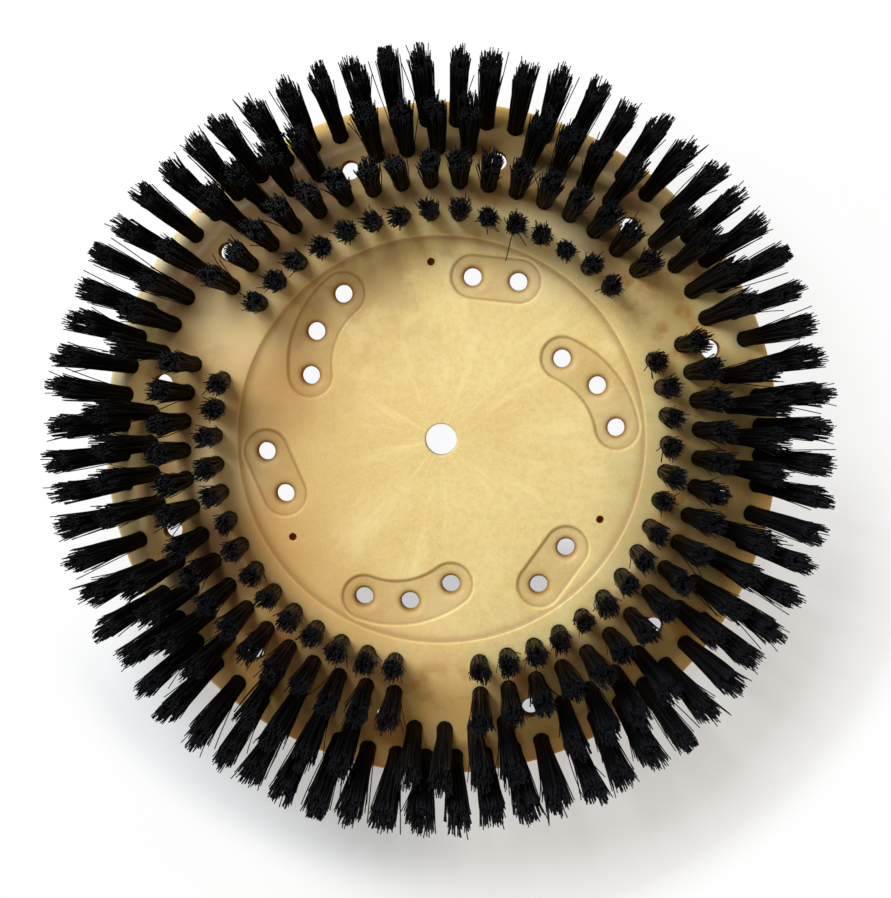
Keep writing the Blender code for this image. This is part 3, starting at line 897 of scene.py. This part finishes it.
def cream_plastic():
    """Natural cream nylon: cloudy, with flow lines out from the gate at its centre, deeper at the rim, and
    with painted light and shade.
    """
    look = Shading("cream_moulded_plastic")
    place = look.place
    east_part, north_part, height = look.parts(place)
    flat = look.joined(east_part, north_part)
    radius = look.measure("LENGTH", flat)
    face = look.ramp(height, 0.0085, 0.0115)
    inside = look.ramp(radius, RECESS_RADIUS + 0.0030, RECESS_RADIUS + 0.0010)

    # Cloudy cream, mottled and speckled, with flow lines
    spoke = look.parts(look.direction(flat))
    flow_place = look.joined(spoke["X"], spoke["Y"], look.times(radius, 5.0))
    clouds = look.noise(place, 20.0, 4.0, 0.6)
    mottle = look.noise(place, 300.0, 3.0, 0.6)
    speckle = look.noise(place, 760.0, 2.0, 0.6)
    flow = look.noise(flow_place, 4.5, 4.0, 0.65)
    colour = look.mix(look.ramp(clouds, 0.35, 0.68), srgb(226, 203, 138), srgb(235, 216, 157))
    colour = look.mix(look.ramp(mottle, 0.40, 0.66, 0.0, 0.36), colour, srgb(215, 190, 124))
    colour = look.mix(look.ramp(speckle, 0.45, 0.70, 0.0, 0.35), colour, srgb(242, 227, 174))
    colour = look.mix(look.ramp(flow, 0.48, 0.70, 0.0, 0.6), colour, srgb(243, 229, 175))

    # Tones of the web, each towards its own side, with painted shade on its upper left and in a blotch on the
    # left
    # Warmer and darker towards the west
    warm_side = look.ramp(east_part, -0.01, -0.11, 0.0, 0.65)
    colour = look.mix(warm_side, colour, srgb(200, 158, 98))
    # Painted shade on the upper left of the web, where the tufts' shadows fall, broken into blotches
    lee = look.ramp(look.measure("DOT_PRODUCT", flat, (-0.6, 0.8, 0)), 0.015, 0.090)
    upper_left_web_shade = look.times(look.ramp(look.noise(place, 34.0, 4.0, 0.6), 0.42, 0.62, 0.0, 0.6), lee)
    colour = look.mix(upper_left_web_shade, colour, srgb(188, 154, 100))
    # A painted shade blotch on the left of the web
    left_web_shade_blotch = look.ramp(look.measure("DISTANCE", flat, (-0.080, 0.026, 0)), 0.036, 0.0, 0.0, 0.60)
    colour = look.mix(left_web_shade_blotch, colour, srgb(172, 126, 66))
    # Deeper amber towards the lower-left edge of the web, and olive towards its east side
    amber = look.ramp(look.measure("DOT_PRODUCT", flat, (-0.707, -0.707, 0)), 0.045, 0.100, 0.0, 0.40)
    amber = look.times(amber, look.ramp(radius, 0.060, 0.095))
    colour = look.mix(amber, colour, srgb(206, 150, 82))
    olive = look.ramp(look.measure("DOT_PRODUCT", flat, (0.985, -0.17, 0)), 0.075, 0.112, 0.0, 0.50)
    colour = look.mix(olive, colour, srgb(176, 158, 104))

    # The ring between the tufts, deeper where thicker and partly painted shade, with painted shade in patches
    # and on its upper left; and the rim
    thick_and_shaded = look.ramp(radius, 0.104, 0.142, 0.0, 0.8)
    pale = look.ramp(north_part, -0.09, -0.02)
    colour = look.mix(thick_and_shaded, colour, look.mix(pale, srgb(186, 152, 84), srgb(196, 170, 108)))
    # Painted amber shade in patches between the tufts
    amber_shade_patch = look.ramp(look.noise(place, 58.0, 3.0, 0.55), 0.46, 0.66, 0.0, 0.75)
    amber_shade_patch = look.times(amber_shade_patch, look.ramp(radius, 0.105, 0.125))
    colour = look.mix(amber_shade_patch, colour, srgb(176, 120, 54))
    # Painted shade on the upper-left side of the ring, where the leaning tufts shade it from the window
    upper_left_ring_shade = look.ramp(look.measure("DOT_PRODUCT", flat, (-0.5, 0.866, 0)), 0.06, 0.13)
    upper_left_ring_shade = look.times(upper_left_ring_shade, look.ramp(radius, 0.109, 0.125), look.ramp(radius, 0.138, 0.155, 0.55, 0.85))
    colour = look.mix(look.times(upper_left_ring_shade, face), colour, srgb(114, 90, 34))
    # The rim: deeper amber where the plastic is thick and partly a painted glow of light through it, with
    # painted light on the west side that faces the window and painted shade on the south
    rim = look.ramp(radius, 0.156, 0.171, 0.0, 0.9)
    rim_south_shade = look.ramp(north_part, -0.09, -0.15)
    rim_window_light = look.ramp(east_part, -0.07, -0.15)
    rim_colour = look.mix(rim_south_shade, srgb(226, 190, 112), srgb(196, 150, 78))
    rim_colour = look.mix(rim_window_light, rim_colour, srgb(230, 220, 178))
    colour = look.mix(rim, colour, rim_colour)

    # Painted shade between the tufts and painted light on bright places of the face and the rim
    ring = look.window(radius, 0.1150, 0.0050, 0.0460, 0.0530)
    tuft_shade = look.times(look.spots(flat, TUFT_SHADE_SPOTS, 0.038, 0.012), ring, face)
    colour = look.mix(tuft_shade, colour, srgb(104, 70, 24))
    painted_light = look.times(look.spots(flat, PAINTED_LIGHT_SPOTS, 0.034, 0.008), face)
    colour = look.mix(painted_light, colour, srgb(250, 236, 186))

    # Painted shade along the feet of the pockets and the recess and down the dished seats, painted shade on
    # the walls of the bolt and feed holes, and a darker orange-brown inside the pilot holes
    pocket_foot = look.window(height, POCKET_FLOOR, 0.00004, 0.0004, 0.0011)
    recess_foot = look.window(height, RECESS_FLOOR, 0.0006, 0.0010, 0.0016)
    sunk = look.times(look.window(height, POCKET_FLOOR - 0.0030, 0.0005, 0.0034, 0.0041), 0.45)
    crease_shade = look.times(look.highest(pocket_foot, sunk, recess_foot), inside, 0.50)
    colour = look.mix(crease_shade, colour, srgb(160, 108, 54))
    seats = look.times(look.ramp(height, POCKET_FLOOR - 0.0001, POCKET_FLOOR - 0.0014), inside, 0.55)
    colour = look.mix(seats, colour, srgb(158, 108, 52))
    # A darker orange-brown inside the pilot holes
    pilot_hole_dark = look.attribute("pilot_hole_dark")
    colour = look.mix(look.times(pilot_hole_dark, 0.95), colour, srgb(190, 100, 42))
    hole_wall_shade = look.attribute("hole_wall_shade")
    colour = look.mix(look.times(hole_wall_shade, 0.85), colour, srgb(172, 126, 66))

    look.set("Base Color", colour)
    look.set("Subsurface Weight", 0.7)
    look.set("Subsurface Radius", (1.0, 0.42, 0.13))
    look.set("Subsurface Scale", 0.006)
    look.set("Roughness", look.ramp(mottle, 0.3, 0.7, 0.44, 0.56))
    look.set("Specular IOR Level", look.ramp(look.highest(hole_wall_shade, pilot_hole_dark), 0.0, 0.5, 0.3, 0.0))
    relief = look.number("ADD", look.times(look.noise(place, 900.0, 2.0, 0.5), 0.25), mottle)
    bump = look.add("ShaderNodeBump", {"Height": relief, "Strength": 0.08, "Distance": 0.0004})
    look.set("Normal", bump.outputs[0])
    return look.material


def black_nylon():
    """Black nylon filament: near black, with painted brown light reflected from the block low down, paler on
    some filaments of the inner rows, and a painted grey-blue glint at the cut ends.
    """
    look = Shading("black_nylon_filament")
    height = look.parts(look.place)["Z"]
    tone = look.attribute("strand_tone")
    tip = look.attribute("strand_tip")
    colour = look.mix(tone, srgb(6, 6, 8), srgb(20, 20, 23))
    # Painted brown light reflected from the block on the low parts of the filaments, paler on some filaments
    # of the inner rows
    inner = look.ramp(look.measure("LENGTH", look.place), 0.150, 0.122)
    painted_light = look.times(look.ramp(tone, 0.50, 0.85), inner)
    low = look.ramp(height, 0.038, 0.020, 0.0, 0.65)
    colour = look.mix(low, colour, look.mix(painted_light, srgb(34, 20, 11), srgb(98, 74, 44)))
    # Painted grey-blue glint on the last tenth of each filament, at its cut end
    colour = look.mix(look.times(tip, 0.7), colour, srgb(33, 35, 42))
    look.set("Base Color", colour)
    look.set("Roughness", look.ramp(tone, 0.0, 1.0, 0.45, 0.6))
    look.set("Specular IOR Level", 0.13)
    return look.material


def floor_material():
    """White paper that keeps the brush's shadow, with a painted white glow that grows away from the brush and
    a painted light beneath the brush, seen through the holes.
    """
    look = Shading("white_paper_floor")
    look.set("Roughness", 0.9)
    away = look.measure("LENGTH", look.place)
    way = look.direction(look.place)
    leeward = look.measure("DOT_PRODUCT", way, (0.545, -0.839, 0))
    # A painted cool shadow on the paper towards the lower left, near the brush
    corner = look.measure("DOT_PRODUCT", way, (-0.5, -0.866, 0))
    painted_cool_shadow = look.times(look.ramp(corner, 0.80, 0.97), look.ramp(away, 0.245, 0.215))
    look.set("Base Color", look.mix(painted_cool_shadow, srgb(245, 248, 253), srgb(212, 222, 234)))

    # How much of the painted white glow is seen near the brush, far from it, and as painted light beneath it
    # through the holes
    near = look.ramp(leeward, 0.50, 0.92, 0.85, 0.42)
    near = look.times(near, look.number("SUBTRACT", 1.0, look.times(painted_cool_shadow, 0.5)))
    outside = look.highest(near, look.ramp(away, 0.232, 0.275))
    within = look.ramp(away, 0.172, 0.165)
    share = look.highest(outside, look.times(within, 0.96))

    # The painted white glow itself, with a painted shadow that dims it through the lower holes
    under = look.times(within, look.ramp(look.parts(look.place)["Y"], -0.034, -0.064, 0.0, 0.40))
    glow = look.number("SUBTRACT", 1.0, under)
    tint = look.mix(within, (1.0, 1.0, 1.0), (0.97, 0.985, 1.0))
    white = look.add("ShaderNodeEmission", {"Color": tint, "Strength": glow}).outputs[0]

    path = look.add("ShaderNodeLightPath").outputs
    seen = look.number("ADD", path["Is Camera Ray"], path["Is Glossy Ray"])
    seen = look.number("ADD", seen, path["Is Transmission Ray"])
    inputs = {0: look.times(share, seen), 1: look.shader.outputs[0], 2: white}
    mixed = look.add("ShaderNodeMixShader", inputs)
    look.links.new(mixed.outputs[0], look.nodes["Material Output"].inputs["Surface"])
    return look.material


def build_floor():
    bm = bmesh.new()
    bmesh.ops.create_grid(bm, x_segments=1, y_segments=1, size=FLOOR_HALF_SIZE)
    mesh = as_mesh(bm, "floor")
    mesh.materials.append(floor_material())
    floor = bpy.data.objects.new("floor", mesh)
    bpy.context.scene.collection.objects.link(floor)


def build_world():
    """A warm fill that lights the brush, seen as plain white."""
    world = bpy.data.worlds.new("studio")
    bpy.context.scene.world = world
    world.use_nodes = True
    nodes, links = world.node_tree.nodes, world.node_tree.links
    fill = nodes["Background"]
    fill.inputs["Color"].default_value = FILL_COLOUR
    fill.inputs["Strength"].default_value = FILL_STRENGTH
    seen = nodes.new("ShaderNodeBackground")
    seen.inputs["Color"].default_value = (1.0, 1.0, 1.0, 1.0)
    path = nodes.new("ShaderNodeLightPath")
    mixed = nodes.new("ShaderNodeMixShader")
    links.new(path.outputs["Is Camera Ray"], mixed.inputs[0])
    links.new(fill.outputs[0], mixed.inputs[1])
    links.new(seen.outputs[0], mixed.inputs[2])
    links.new(mixed.outputs[0], nodes["World Output"].inputs["Surface"])


def aimed(place, target, up):
    """The turn and place of something at a place that looks at a target."""
    forward = (target - place).normalized()
    right = forward.cross(up).normalized()
    level = right.cross(forward)
    turn = Matrix((right, level, -forward)).transposed().to_4x4()
    return Matrix.Translation(place) @ turn


def build_window_light():
    light = bpy.data.lights.new("window", "AREA")
    light.shape = "DISK"
    light.size = WINDOW_SIZE
    light.energy = WINDOW_WATTS
    light.color = WINDOW_COLOUR
    lamp = bpy.data.objects.new("window", light)
    bpy.context.scene.collection.objects.link(lamp)
    lamp.matrix_world = aimed(WINDOW_PLACE, WINDOW_TARGET, Vector((0, 1, 0)))


def build_camera():
    lens = bpy.data.cameras.new("camera")
    lens.sensor_width = SENSOR_MM
    lens.lens = FOCAL_LENGTH_PX * SENSOR_MM / FRAME_LONG_SIDE_PX
    lens.shift_x = CAMERA_SHIFT_PX[0] / FRAME_LONG_SIDE_PX
    lens.shift_y = CAMERA_SHIFT_PX[1] / FRAME_LONG_SIDE_PX
    lens.clip_start = CAMERA_NEAR
    lens.clip_end = CAMERA_FAR
    camera = bpy.data.objects.new("camera", lens)
    bpy.context.scene.collection.objects.link(camera)
    up = Vector((-math.sin(CAMERA_ROLL), math.cos(CAMERA_ROLL), 0))
    camera.matrix_world = aimed(CAMERA_PLACE, CAMERA_TARGET, up)
    bpy.context.scene.camera = camera


bpy.context.scene.view_settings.view_transform = "Standard"
build_camera()
build_world()
build_window_light()
build_floor()
build_block(cream_plastic())
rng = random.Random(SEED)
nylon = black_nylon()
strand = strand_mesh()
for row in ROWS:
    build_row(row, strand, nylon, rng)
